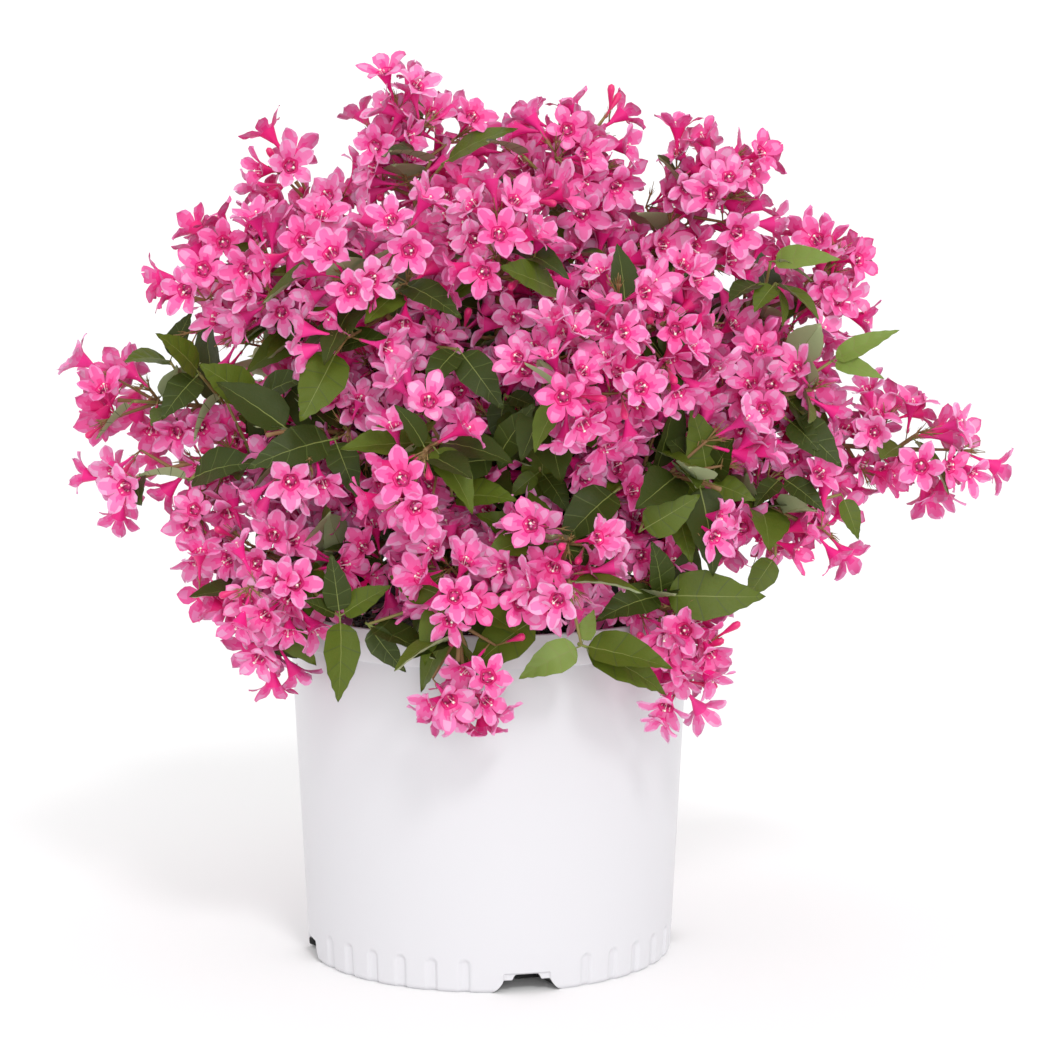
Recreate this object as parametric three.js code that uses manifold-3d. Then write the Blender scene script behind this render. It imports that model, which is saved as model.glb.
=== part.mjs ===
// A potted weigela in full flower: a white nursery pot with a fluted, notched foot, its potting mix, a short woody
// stem, and arching canes. Each cane is a bough and, from where its foliage begins, a mass of twigs, leaves and
// trumpet-shaped blossom fused on one stem. Millimetres, +Z up, origin at the centre of the pot's flat underside.
import * as THREE from "three";
import { mergeVertices } from "three/addons/utils/BufferGeometryUtils.js";
import Module from "manifold-3d";

const wasm = await Module();
wasm.setup();

// ---- driving dimensions ----
const GAP = 0.3; // clearance between touching pieces
const POT = {
  height: 240,
  rimRadius: 138,
  footRadius: 123,
  footEdge: 2, // the bevel round the underside
  wall: 3.4,
  floor: 4,
  lipHeight: 22,
  lipProud: 3,
  lipWidth: 4,
  segments: 36,
};
const NOTCH = { count: 4, first: 12, width: 46, height: 15, depth: 7, slope: 7 };
const FLUTE = { perSide: 6, pitch: 10.3, width: 9, height: 23, depth: 1.4 };
const MIX = { belowRim: 20, dome: 5, shoulder: 12 }; // the dome rises round the stem
const STEM = { height: 92, flareRadius: 23, waistRadius: 13.5, topRadius: 9.5, lean: 6, sides: 10, segments: 6 };
// Where canes with low and high tips leave the stem, as shares of its height, and how far each end of a cane keeps
// its own direction, as shares of its span.
const CANE = {
  lowTip: 230,
  highTip: 560,
  lowRoot: 0.2,
  highRoot: 0.95,
  steepness: 0.55,
  rootPull: 0.42,
  tipPull: 0.36,
};
const BOUGH = { rootRadius: 4.4, tipRadius: 2.3, sides: 5, segments: 3 };
const SHOOT = { rootRadius: 2.3, tipRadius: 2, joints: 5 }; // the stem inside a mass
const TWIG = { radius: 1.7, shortest: 0.8, longest: 1.2, leastSweep: 0.3, mostSweep: 0.9 }; // lengths in reaches
const FLOWER = { length: 41, radius: 21, throat: 0.55, notchRadius: 0.55, notchLength: 0.86 };
// A head's core radius, the angle it is tilted by at most, the lowest that a flower looks, as a cosine, the fewest
// flowers worth a twig, and the number of places tried on each shoot.
const HEAD = { core: 4, tilt: 20, lowest: 0.1, fewest: 3, tries: 90 };
const SPREAD = { along: 0.7549, round: 0.5698, narrowest: 100, widest: 180 }; // steps of heads on and round a shoot
const LEAF = { length: 70, width: 38, thick: 1.6, keel: 3, widestAt: 0.42, least: 0.8, most: 1.1 };
const LEAVES_TRIED = 40; // places for leaves looked at on each shoot
const LEAVES_KEPT = 4; // leaves kept there at most
const CROWN_HEART = new THREE.Vector3(20, 0, 320); // the point that the blossom faces away from
const LEAN_OVER = 14; // how far a piece may lean past the middle between two masses
const SWELL = 1.03; // a piece this much larger still has to be clear of other masses
const CLEAR_OF_ROOT = 7; // how far out from its root a leaf may touch nothing

// The canes. tip: where the cane ends; rise: the slope that it ends with, up or down per unit outwards; reach: how
// far its twigs spread; enters: the share of its length where foliage begins; heads: its heads of blossom at most.
const CANES = [
  { name: "left_far", tip: [-247, -12, 376], rise: 0.05, reach: 20, enters: 0.5, heads: 2 },
  { name: "left_low", tip: [-230, -62, 330], rise: -0.35, reach: 18, enters: 0.55, heads: 2 },
  { name: "left_shoulder", tip: [-172, -40, 462], rise: 0.5, reach: 36, enters: 0.45, heads: 3 },
  { name: "left_crest", tip: [-130, 35, 518], rise: 1.3, reach: 20, enters: 0.55, heads: 3 },
  { name: "left_face", tip: [-88, -132, 468], rise: 0.5, reach: 36, enters: 0.5, heads: 2 },
  { name: "top_left", tip: [-62, 10, 560], rise: 3, reach: 28, enters: 0.5, heads: 3 },
  { name: "top_middle", tip: [50, -12, 546], rise: 4, reach: 32, enters: 0.5, heads: 3 },
  { name: "top_face", tip: [8, -112, 500], rise: 1, reach: 36, enters: 0.5, heads: 2 },
  { name: "top_right", tip: [144, 10, 524], rise: 1.4, reach: 30, enters: 0.5, heads: 3 },
  { name: "right_upper", tip: [222, 18, 452], rise: 0.5, reach: 26, enters: 0.55, heads: 2 },
  { name: "right_face", tip: [112, -134, 440], rise: 0.4, reach: 36, enters: 0.5, heads: 3 },
  { name: "right_middle", tip: [212, -50, 388], rise: 0.25, reach: 28, enters: 0.55, heads: 3 },
  { name: "right_far", tip: [297, -12, 342], rise: -0.05, reach: 17, enters: 0.6, heads: 3 },
  { name: "right_low", tip: [208, -62, 300], rise: -0.5, reach: 26, enters: 0.55, heads: 3 },
  { name: "right_cheek", tip: [148, -140, 335], rise: -0.2, reach: 32, enters: 0.5, heads: 3 },
  { name: "front_middle", tip: [50, -190, 402], rise: 0.1, reach: 36, enters: 0.5, heads: 3 },
  { name: "front_left", tip: [-38, -186, 366], rise: -0.1, reach: 34, enters: 0.5, heads: 3 },
  { name: "left_cheek", tip: [-140, -128, 368], rise: -0.1, reach: 30, enters: 0.5, heads: 3 },
  { name: "left_skirt", tip: [-152, -104, 246], rise: -2, reach: 34, enters: 0.5, heads: 3 },
  { name: "front_skirt_left", tip: [-18, -184, 232], rise: -2.4, reach: 34, enters: 0.5, heads: 3 },
  { name: "front_skirt_right", tip: [52, -188, 282], rise: -0.9, reach: 30, enters: 0.5, heads: 3 },
  { name: "right_skirt", tip: [126, -124, 226], rise: -2.4, reach: 18, enters: 0.6, heads: 3 },
  { name: "back_top", tip: [10, 120, 500], rise: 1, reach: 40, enters: 0.5, heads: 2 },
  { name: "back_left", tip: [-160, 128, 400], rise: 0.2, reach: 42, enters: 0.5, heads: 2 },
  { name: "back_right", tip: [172, 124, 396], rise: 0.2, reach: 42, enters: 0.5, heads: 2 },
  { name: "back_middle", tip: [10, 196, 380], rise: 0.1, reach: 40, enters: 0.5, heads: 2 },
  { name: "back_skirt_left", tip: [-96, 172, 276], rise: -1, reach: 36, enters: 0.5, heads: 2 },
  { name: "back_skirt_right", tip: [110, 168, 272], rise: -1, reach: 36, enters: 0.5, heads: 2 },
];

// ---- colours and finish ----
const finish = (color, roughness) =>
  new THREE.MeshStandardMaterial({ color, roughness, metalness: 0, flatShading: true });
const whitePlastic = finish(0xf3f2f6, 0.35);
const pottingMix = finish(0x2b211c, 0.95);
const bark = finish(0x6a4f3a, 0.85);
const foliage = finish(0xe4559f, 0.6);

// ---- solids ----
// A closed geometry as a solid: shared vertices are merged and triangles that have shrunk to a line are left out.
function solid(geometry) {
  const bare = geometry.clone();
  bare.deleteAttribute("normal");
  bare.deleteAttribute("uv");
  const merged = mergeVertices(bare, 1e-4);
  const index = merged.index.array;
  const kept = [];
  for (let i = 0; i < index.length; i += 3) {
    const [a, b, c] = [index[i], index[i + 1], index[i + 2]];
    if (a !== b && b !== c && c !== a) kept.push(a, b, c);
  }
  const vertProperties = merged.attributes.position.array;
  return new wasm.Manifold(new wasm.Mesh({ numProp: 3, vertProperties, triVerts: new Uint32Array(kept) }));
}

const join = (solids) => solids.reduce((whole, piece) => whole.add(piece));
const boxesMeet = (a, b) => [0, 1, 2].every((axis) => a.min[axis] < b.max[axis] && b.min[axis] < a.max[axis]);
const overlaps = (a, b) => boxesMeet(a.boundingBox(), b.boundingBox()) && !a.intersect(b).isEmpty();
const largest = (whole) => whole.decompose().sort((a, b) => b.volume() - a.volume())[0];

// Whether a join is still closed once corners less than a micrometre apart are taken as one.
function isSound(whole) {
  const mesh = whole.getMesh();
  const place = (i) => [0, 1, 2].map((axis) => Math.round(mesh.vertProperties[3 * i + axis] * 1000)).join();
  const edges = new Map();
  for (let i = 0; i < mesh.triVerts.length; i += 3) {
    const [a, b, c] = [0, 1, 2].map((corner) => place(mesh.triVerts[i + corner]));
    if (a === b || b === c || c === a) continue;
    for (const [from, to] of [[a, b], [b, c], [c, a]]) {
      edges.set(from + ">" + to, (edges.get(from + ">" + to) || 0) + 1);
    }
  }
  return [...edges].every(([edge, uses]) => uses === 1 && edges.get(edge.split(">").reverse().join(">")) === 1);
}

function node(name, whole, material) {
  const mesh = whole.getMesh();
  const geometry = new THREE.BufferGeometry();
  geometry.setAttribute("position", new THREE.BufferAttribute(mesh.vertProperties, 3));
  geometry.setIndex(new THREE.BufferAttribute(mesh.triVerts, 1));
  geometry.computeVertexNormals();
  const made = new THREE.Mesh(geometry, material);
  made.name = name;
  return made;
}

// A closed tube along a curve: a cylinder whose rings are moved onto the curve, radius(t) thick.
function limb(curve, radius, sides, segments) {
  const geometry = new THREE.CylinderGeometry(1, 1, 1, sides, segments);
  const frames = curve.computeFrenetFrames(segments);
  const position = geometry.attributes.position;
  for (let i = 0; i < position.count; i++) {
    const t = position.getY(i) + 0.5;
    const ring = Math.round(t * segments);
    const across = new THREE.Vector3(position.getX(i), 0, position.getZ(i)).multiplyScalar(radius(t));
    const point = curve.getPointAt(ring / segments);
    point.addScaledVector(frames.normals[ring], across.x).addScaledVector(frames.binormals[ring], -across.z);
    position.setXYZ(i, point.x, point.y, point.z);
  }
  return solid(geometry);
}

const taper = (from, to) => (t) => from + (to - from) * t;
const degrees = THREE.MathUtils.degToRad;
const vector = (list) => new THREE.Vector3(...list);
// A number from 0 to 1 that depends only on its two arguments, the same on every run.
function chance(a, b) {
  const wave = Math.sin(a * 12.9898 + b * 78.233) * 43758.5453;
  return wave - Math.floor(wave);
}

// ---- the pot ----
function lathe(profile, segments) {
  const points = profile.map(([r, z]) => new THREE.Vector2(r, z));
  return new THREE.LatheGeometry(points, segments).rotateX(Math.PI / 2);
}

const bodyRadius = (z) => POT.footRadius + ((POT.rimRadius - POT.lipProud - POT.footRadius) * z) / POT.height;

function potShell() {
  const lipFoot = POT.height - POT.lipHeight;
  const profile = [
    [0, 0],
    [POT.footRadius - POT.footEdge, 0],
    [POT.footRadius, POT.footEdge],
    [bodyRadius(lipFoot), lipFoot],
    [POT.rimRadius - 0.5, lipFoot + 1.5],
    [POT.rimRadius, POT.height],
    [POT.rimRadius - POT.lipWidth, POT.height],
    [bodyRadius(lipFoot) - POT.wall, lipFoot],
    [bodyRadius(POT.floor) - POT.wall, POT.floor],
    [0, POT.floor],
  ];
  return solid(lathe(profile, POT.segments));
}

// A cutter that stands radially at an azimuth: an outline across (x) and up (y), pushed out from inner to outer.
function radialCutter(outline, azimuth, inner, outer) {
  const block = new THREE.ExtrudeGeometry(outline, { depth: outer - inner, bevelEnabled: false });
  block.rotateX(Math.PI / 2).translate(0, -inner, 0).rotateZ(degrees(azimuth));
  return solid(block);
}

function notchOutline() {
  const half = NOTCH.width / 2;
  return new THREE.Shape([
    new THREE.Vector2(-half, -1),
    new THREE.Vector2(half, -1),
    new THREE.Vector2(half - NOTCH.slope, NOTCH.height),
    new THREE.Vector2(-half + NOTCH.slope, NOTCH.height),
  ]);
}

function fluteOutline() {
  const half = FLUTE.width / 2;
  return new THREE.Shape([
    new THREE.Vector2(-half, -1),
    new THREE.Vector2(half, -1),
    new THREE.Vector2(half, FLUTE.height - half),
    new THREE.Vector2(0, FLUTE.height),
    new THREE.Vector2(-half, FLUTE.height - half),
  ]);
}

// The shell with its foot cut: drain notches right through the wall, and shallow flutes between them.
function pot() {
  const cutters = [];
  for (let i = 0; i < NOTCH.count; i++) {
    const azimuth = NOTCH.first + (i * 360) / NOTCH.count;
    cutters.push(radialCutter(notchOutline(), azimuth, POT.footRadius - NOTCH.depth, POT.footRadius + 5));
    for (let k = 0; k < FLUTE.perSide; k++) {
      const turn = 180 / NOTCH.count + (k - (FLUTE.perSide - 1) / 2) * FLUTE.pitch;
      cutters.push(radialCutter(fluteOutline(), azimuth + turn, POT.footRadius - FLUTE.depth, POT.footRadius + 8));
    }
  }
  return potShell().subtract(join(cutters));
}

// The potting mix fills the pot and rises a little towards the stem.
const mixLevel = POT.height - MIX.belowRim;
const stemFoot = mixLevel + MIX.dome + GAP;

function pottingMixBody() {
  const wallAt = (z) => bodyRadius(z) - POT.wall - 2 * GAP;
  const profile = [
    [0, POT.floor + GAP],
    [wallAt(POT.floor), POT.floor + GAP],
    [wallAt(mixLevel), mixLevel - 2],
    [wallAt(mixLevel) - MIX.shoulder, mixLevel],
    [STEM.flareRadius + MIX.shoulder, mixLevel + MIX.dome],
    [0, mixLevel + MIX.dome],
  ];
  return solid(lathe(profile, POT.segments / 2));
}

// ---- the woody stem ----
const stemLine = new THREE.QuadraticBezierCurve3(
  new THREE.Vector3(0, 0, stemFoot),
  new THREE.Vector3(0, 0, stemFoot + STEM.height / 2),
  new THREE.Vector3(STEM.lean, 0, stemFoot + STEM.height),
);

function stemRadius(t) {
  const flare = (STEM.flareRadius - STEM.waistRadius) * Math.pow(1 - t, 5);
  return STEM.waistRadius + (STEM.topRadius - STEM.waistRadius) * t + flare;
}

const stem = (grow) => limb(stemLine, (t) => stemRadius(t) + grow, STEM.sides, STEM.segments);

// ---- the canes ----
// Canes that end high leave the stem high and steeply; those that end low leave it low.
function caneLine(cane) {
  const tip = vector(cane.tip);
  const height = THREE.MathUtils.mapLinear(tip.z, CANE.lowTip, CANE.highTip, CANE.lowRoot, CANE.highRoot);
  const root = stemLine.getPointAt(THREE.MathUtils.clamp(height, CANE.lowRoot, CANE.highRoot));
  const outwards = new THREE.Vector3(tip.x - root.x, tip.y - root.y, 0).normalize();
  const leaving = outwards.clone().setZ(CANE.steepness + height).normalize();
  const ending = outwards.clone().setZ(cane.rise).normalize();
  const span = tip.distanceTo(root);
  const lower = root.clone().addScaledVector(leaving, span * CANE.rootPull);
  const upper = tip.clone().addScaledVector(ending, -span * CANE.tipPull);
  return new THREE.CubicBezierCurve3(root, lower, upper, tip);
}

// The stretch of a curve between two shares of its length, as a curve of its own.
function stretch(curve, from, to) {
  const steps = 8;
  const points = [];
  for (let i = 0; i <= steps; i++) points.push(curve.getPointAt(from + ((to - from) * i) / steps));
  return new THREE.CatmullRomCurve3(points);
}

for (const [number, cane] of CANES.entries()) {
  const line = caneLine(cane);
  cane.number = number;
  cane.length = line.getLength();
  cane.bough = stretch(line, 0, cane.enters - GAP / cane.length);
  cane.shoot = stretch(line, cane.enters, 1);
  cane.samples = cane.shoot.getPoints(6);
}

const stemRoom = stem(GAP);
const boughSolid = (cane, grow) =>
  limb(cane.bough, (t) => taper(BOUGH.rootRadius, BOUGH.tipRadius)(t) + grow, BOUGH.sides, BOUGH.segments);

// ---- foliage ----
// How far a point lies from a cane's shoot, less that cane's reach: each point belongs to the lowest.
const claim = (cane, point) => Math.min(...cane.samples.map((s) => s.distanceTo(point))) - cane.reach;

// A piece keeps to its mass's space if each of its corners does.
function inOwnSpace(cane, corners) {
  return corners.every((corner) => {
    const own = claim(cane, corner) - LEAN_OVER;
    return CANES.every((other) => other === cane || claim(other, corner) >= own);
  });
}

function cornersOf(geometry) {
  const position = geometry.attributes.position;
  return Array.from({ length: position.count }, (_, i) => new THREE.Vector3().fromBufferAttribute(position, i));
}

// A frame whose +Y points along a direction, turned about it by an angle.
function facing(direction, point, turn) {
  const spin = new THREE.Quaternion().setFromAxisAngle(new THREE.Vector3(0, 1, 0), turn);
  const aim = new THREE.Quaternion().setFromUnitVectors(new THREE.Vector3(0, 1, 0), direction);
  return new THREE.Matrix4().compose(point, aim.multiply(spin), new THREE.Vector3(1, 1, 1));
}

// A head of blossom round a small twelve-sided core, drawn to a point below: each face that blooms(normal) accepts
// carries a trumpet, whose five-sided tube widens to a mouth of five pointed lobes with notches between them,
// hollowed to the throat.
function headGeometry(frame, blooms) {
  const core = new THREE.DodecahedronGeometry(HEAD.core).rotateX(-Math.atan(2 / (1 + Math.sqrt(5))));
  const at = (i) => {
    const corner = new THREE.Vector3().fromBufferAttribute(core.attributes.position, i);
    if (corner.y < -HEAD.core / 2) corner.set(0, -HEAD.core, 0);
    return corner.applyMatrix4(frame);
  };
  const centre = new THREE.Vector3().setFromMatrixPosition(frame);
  const corners = [];
  for (let first = 0; first < core.attributes.position.count; first += 9) {
    const base = [2, 0, 1, 4, 7].map((i) => at(first + i));
    const middle = base.reduce((sum, corner) => sum.add(corner), new THREE.Vector3()).divideScalar(5);
    const normal = middle.clone().sub(centre).normalize();
    if (!blooms(normal)) {
      corners.push(base[0], base[1], base[2], base[0], base[2], base[3], base[0], base[3], base[4]);
      continue;
    }
    const rim = (aside, radius, height) =>
      centre.clone().addScaledVector(normal, height).addScaledVector(aside.clone().sub(middle).normalize(), radius);
    const throat = centre.clone().addScaledVector(normal, FLOWER.length * FLOWER.throat);
    const edges = base.map((corner, i) => corner.clone().add(base[(i + 1) % 5]).divideScalar(2));
    const lobes = edges.map((edge) => rim(edge, FLOWER.radius, FLOWER.length));
    const notches = base.map((c) => rim(c, FLOWER.radius * FLOWER.notchRadius, FLOWER.length * FLOWER.notchLength));
    for (let i = 0; i < 5; i++) {
      const j = (i + 1) % 5;
      corners.push(base[i], base[j], lobes[i], base[i], lobes[i], notches[i], base[j], notches[j], lobes[i]);
      corners.push(throat, notches[i], lobes[i], throat, lobes[i], notches[j]);
    }
  }
  return new THREE.BufferGeometry().setFromPoints(corners);
}

// A blade of eight faces: an octahedron drawn out to the leaf's outline, with its middle lowered to a keel.
function leafGeometry(size) {
  const blade = new THREE.OctahedronGeometry(1);
  const position = blade.attributes.position;
  for (let i = 0; i < position.count; i++) {
    const [x, y, z] = [position.getX(i), position.getY(i), position.getZ(i)];
    const along = Math.abs(y) > 0.5 ? (y + 1) / 2 : LEAF.widestAt;
    const drop = Math.abs(x) > 0.5 ? 0 : -LEAF.keel * (y > 0.5 ? 2 : Math.abs(z));
    const place = [(x * LEAF.width) / 2, along * LEAF.length, (z * LEAF.thick) / 2 + drop];
    position.setXYZ(i, ...place.map((value) => value * size));
  }
  return blade;
}

// A blade's frame: +Y along the leaf, +Z on the side that faces the sky as far as it can.
function leafFrame(direction, point) {
  const up = new THREE.Vector3(0, 0, 1).addScaledVector(direction, -direction.z).normalize();
  const across = direction.clone().cross(up);
  return new THREE.Matrix4().makeBasis(across, direction, up).setPosition(point);
}

// The place of one head on a cane: number 0 sits on the tip, and the others spread round the shoot by steps that
// never repeat, mostly on the side away from the crown's heart.
function headPlace(cane, k) {
  if (k === 0) {
    const end = cane.shoot.getPointAt(1);
    return { number: k, foot: end, end, axis: cane.shoot.getTangentAt(1) };
  }
  const joint = Math.floor(((0.35 + k * SPREAD.along) % 1) * SHOOT.joints) / SHOOT.joints;
  const foot = cane.shoot.getPointAt(joint);
  const tangent = cane.shoot.getTangentAt(joint);
  const outward = foot.clone().sub(CROWN_HEART).normalize();
  const endOn = outward.dot(tangent) ** 2;
  const widest = degrees(THREE.MathUtils.lerp(SPREAD.narrowest, SPREAD.widest, endOn));
  const round = (((k * SPREAD.round + 0.2) % 1) * 2 - 1) * widest;
  const side = outward.clone().addScaledVector(tangent, -outward.dot(tangent)).normalize();
  side.applyAxisAngle(tangent, round);
  const sweep = THREE.MathUtils.lerp(TWIG.leastSweep, TWIG.mostSweep, chance(k, 5));
  const length = cane.reach * THREE.MathUtils.lerp(TWIG.shortest, TWIG.longest, chance(cane.number, k));
  const end = foot.clone().addScaledVector(side, length).addScaledVector(tangent, length * sweep);
  const axis = side.clone().addScaledVector(tangent, 0.45).addScaledVector(outward, 0.65).normalize();
  return { number: k, foot, end, axis };
}

// The head at a place: its core is turned and tilted by chance, and a face blooms if it looks outwards and its
// trumpet is free. Nothing is made where fewer than HEAD.fewest are.
function headAt(cane, place, isFree) {
  const aside = place.axis.clone().cross(new THREE.Vector3(0, 0, 1)).normalize();
  const tilt = degrees(HEAD.tilt) * chance(cane.number, place.number + 10);
  const top = place.axis.clone().applyAxisAngle(aside, tilt);
  const frame = facing(top, place.end, 2 * Math.PI * chance(cane.number + 31, place.number));
  const blooming = [];
  headGeometry(frame, (normal) => {
    if (normal.dot(place.axis) > HEAD.lowest) blooming.push(normal);
    return false;
  });
  const free = blooming.filter((normal) => isFree(headGeometry(frame, (other) => other.dot(normal) > 0.99)));
  if (free.length < HEAD.fewest) return null;
  return solid(headGeometry(frame, (normal) => free.some((other) => other.dot(normal) > 0.99)));
}

// Leaf number i of a shoot: two stand opposite each other at each joint, each pair turned a quarter from the last.
function leafPlace(cane, i) {
  const pair = Math.floor(i / 2);
  const joint = (pair % SHOOT.joints) / SHOOT.joints;
  const tangent = cane.shoot.getTangentAt(joint);
  const aside = new THREE.Vector3(0, 0, 1).cross(tangent).normalize();
  const turn = degrees(i % 2 ? 180 : 0) + degrees(90) * pair + degrees(50) * Math.floor(pair / SHOOT.joints);
  const direction = aside.applyAxisAngle(tangent, turn).addScaledVector(tangent, 0.5).normalize();
  const size = THREE.MathUtils.lerp(LEAF.least, LEAF.most, chance(cane.number + i, 70));
  return { size, frame: leafFrame(direction, cane.shoot.getPointAt(joint)) };
}

// A mass: its shoot, with each head and leaf that keeps to its space and crosses nothing beyond its root. The
// others are the masses that already stand.
function mass(cane, obstacles, others) {
  const keepsTo = (geometry, standing) => {
    if (!inOwnSpace(cane, cornersOf(geometry))) return false;
    const made = solid(geometry);
    if (!standing.every((other) => !overlaps(made, other))) return false;
    const [x, y, z] = [0, 1, 2].map((axis) => (made.boundingBox().min[axis] + made.boundingBox().max[axis]) / 2);
    const wider = made.translate([-x, -y, -z]).scale(SWELL).translate([x, y, z]);
    return others.every((other) => !overlaps(wider, other));
  };
  let grown = limb(cane.shoot, taper(SHOOT.rootRadius, SHOOT.tipRadius), 3, SHOOT.joints);
  const grow = (pieces) => {
    const next = join([grown, ...pieces]);
    const sound = isSound(next);
    if (sound) grown = next;
    return sound;
  };
  const tipHead = headAt(cane, headPlace(cane, 0), (trumpet) => keepsTo(trumpet, [obstacles]));
  if (tipHead) grow([tipHead]);
  for (let k = 1, made = 1; k < HEAD.tries && made < cane.heads; k++) {
    const place = headPlace(cane, k);
    const twigLine = new THREE.LineCurve3(place.foot, place.end);
    const twig = limb(twigLine, () => TWIG.radius, 3, 1);
    if (!inOwnSpace(cane, twigLine.getPoints(4)) || [obstacles, ...others].some((o) => overlaps(twig, o))) continue;
    const head = headAt(cane, place, (trumpet) => keepsTo(trumpet, [obstacles, grown]));
    if (head && grow([twig, head])) made += 1;
  }
  const clearOfRoot = new THREE.Matrix4().makeTranslation(0, CLEAR_OF_ROOT, 0);
  for (let i = 0, made = 0; i < LEAVES_TRIED && made < LEAVES_KEPT; i++) {
    const { size, frame } = leafPlace(cane, i);
    const blade = leafGeometry(size);
    const beyondRoot = blade.clone().applyMatrix4(clearOfRoot).applyMatrix4(frame);
    const leaf = blade.applyMatrix4(frame);
    if (!keepsTo(leaf, [obstacles]) || !keepsTo(beyondRoot, [grown])) continue;
    if (grow([solid(leaf)])) made += 1;
  }
  return largest(grown);
}

// ---- the assembly ----
const weigela = new THREE.Group();
weigela.name = "potted_weigela";

const potBody = pot();
const mix = pottingMixBody();
const stemBody = stem(0);
weigela.add(node("pot", potBody, whitePlastic));
weigela.add(node("potting_mix", mix, pottingMix));
weigela.add(node("main_stem", stemBody, bark));

// Each bough is cut clear of the stem and of the boughs before it, as they crowd together at the stem.
let taken = stemRoom;
for (const cane of CANES) {
  weigela.add(node("bough_" + cane.name, largest(boughSolid(cane, 0).subtract(taken)), bark));
  taken = taken.add(boughSolid(cane, GAP));
}
const obstacles = join([potBody, mix, stemBody, taken]);
const masses = [];
for (const cane of CANES) {
  masses.push(mass(cane, obstacles, masses));
  weigela.add(node("mass_" + cane.name, masses.at(-1), foliage));
}

export default weigela;
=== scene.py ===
"""A potted weigela in full flower, built round its solids.

Lengths are millimetres until a mesh is made, +Z is up, and the origin is the centre of the pot's underside.
The canes, and the rule by which heads of blossom stand round them, are those of the solids.
"""
from math import acos, cos, degrees, floor, hypot, pi, radians, sin, sqrt

import bpy
import numpy as np
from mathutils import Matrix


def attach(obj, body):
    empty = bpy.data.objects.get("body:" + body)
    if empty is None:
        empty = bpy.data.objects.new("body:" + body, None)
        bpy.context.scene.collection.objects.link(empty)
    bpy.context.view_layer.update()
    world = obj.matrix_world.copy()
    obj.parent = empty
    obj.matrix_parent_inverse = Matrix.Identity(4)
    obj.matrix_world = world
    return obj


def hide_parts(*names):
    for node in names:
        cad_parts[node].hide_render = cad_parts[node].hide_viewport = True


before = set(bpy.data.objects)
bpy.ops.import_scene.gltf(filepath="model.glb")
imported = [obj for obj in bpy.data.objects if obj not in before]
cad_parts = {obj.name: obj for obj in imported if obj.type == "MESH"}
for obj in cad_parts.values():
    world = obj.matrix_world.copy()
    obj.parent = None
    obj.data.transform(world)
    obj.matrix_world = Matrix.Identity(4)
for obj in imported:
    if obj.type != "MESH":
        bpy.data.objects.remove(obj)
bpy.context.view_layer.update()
rng = np.random.default_rng(20)

# ---- dimensions shared with the solids ----
GAP = 0.3  # clearance between touching pieces
POT_HEIGHT, RIM_RADIUS, FOOT_RADIUS, WALL = 240, 138, 123, 3.4
LIP_HEIGHT, LIP_PROUD, LIP_WIDTH = 22, 3, 4
NOTCHES, FIRST_NOTCH = 4, 12
FLUTES_PER_SIDE, FLUTE_PITCH, FLUTE_WIDTH, FLUTE_HEIGHT = 6, 10.3, 9, 23
MIX_DOME = 5
MIX_LEVEL = POT_HEIGHT - 20
STEM_FOOT, STEM_HEIGHT, STEM_LEAN = MIX_LEVEL + MIX_DOME + GAP, 92, 6
STEM_FLARE, STEM_WAIST, STEM_TOP = 23, 13.5, 9.5
# Canes with tips at these heights leave the stem at these shares of its height.
LOW_TIP, HIGH_TIP, LOW_ROOT, HIGH_ROOT = 230, 560, 0.2, 0.95
STEEPNESS, ROOT_PULL, TIP_PULL = 0.55, 0.42, 0.36  # how a cane leaves, and how straight its ends are
BOUGH_ROOT, BOUGH_TIP = 4.4, 2.3
JOINTS = 5  # joints on a shoot
ALONG_STEP, ROUND_STEP = 0.7549, 0.5698  # steps of heads on and round a shoot
CROWN_HEART = np.array([20.0, 0.0, 320.0])  # the point that the blossom faces away from
LEAN_OVER = 14  # how far a head may lean past the middle between two canes

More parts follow.
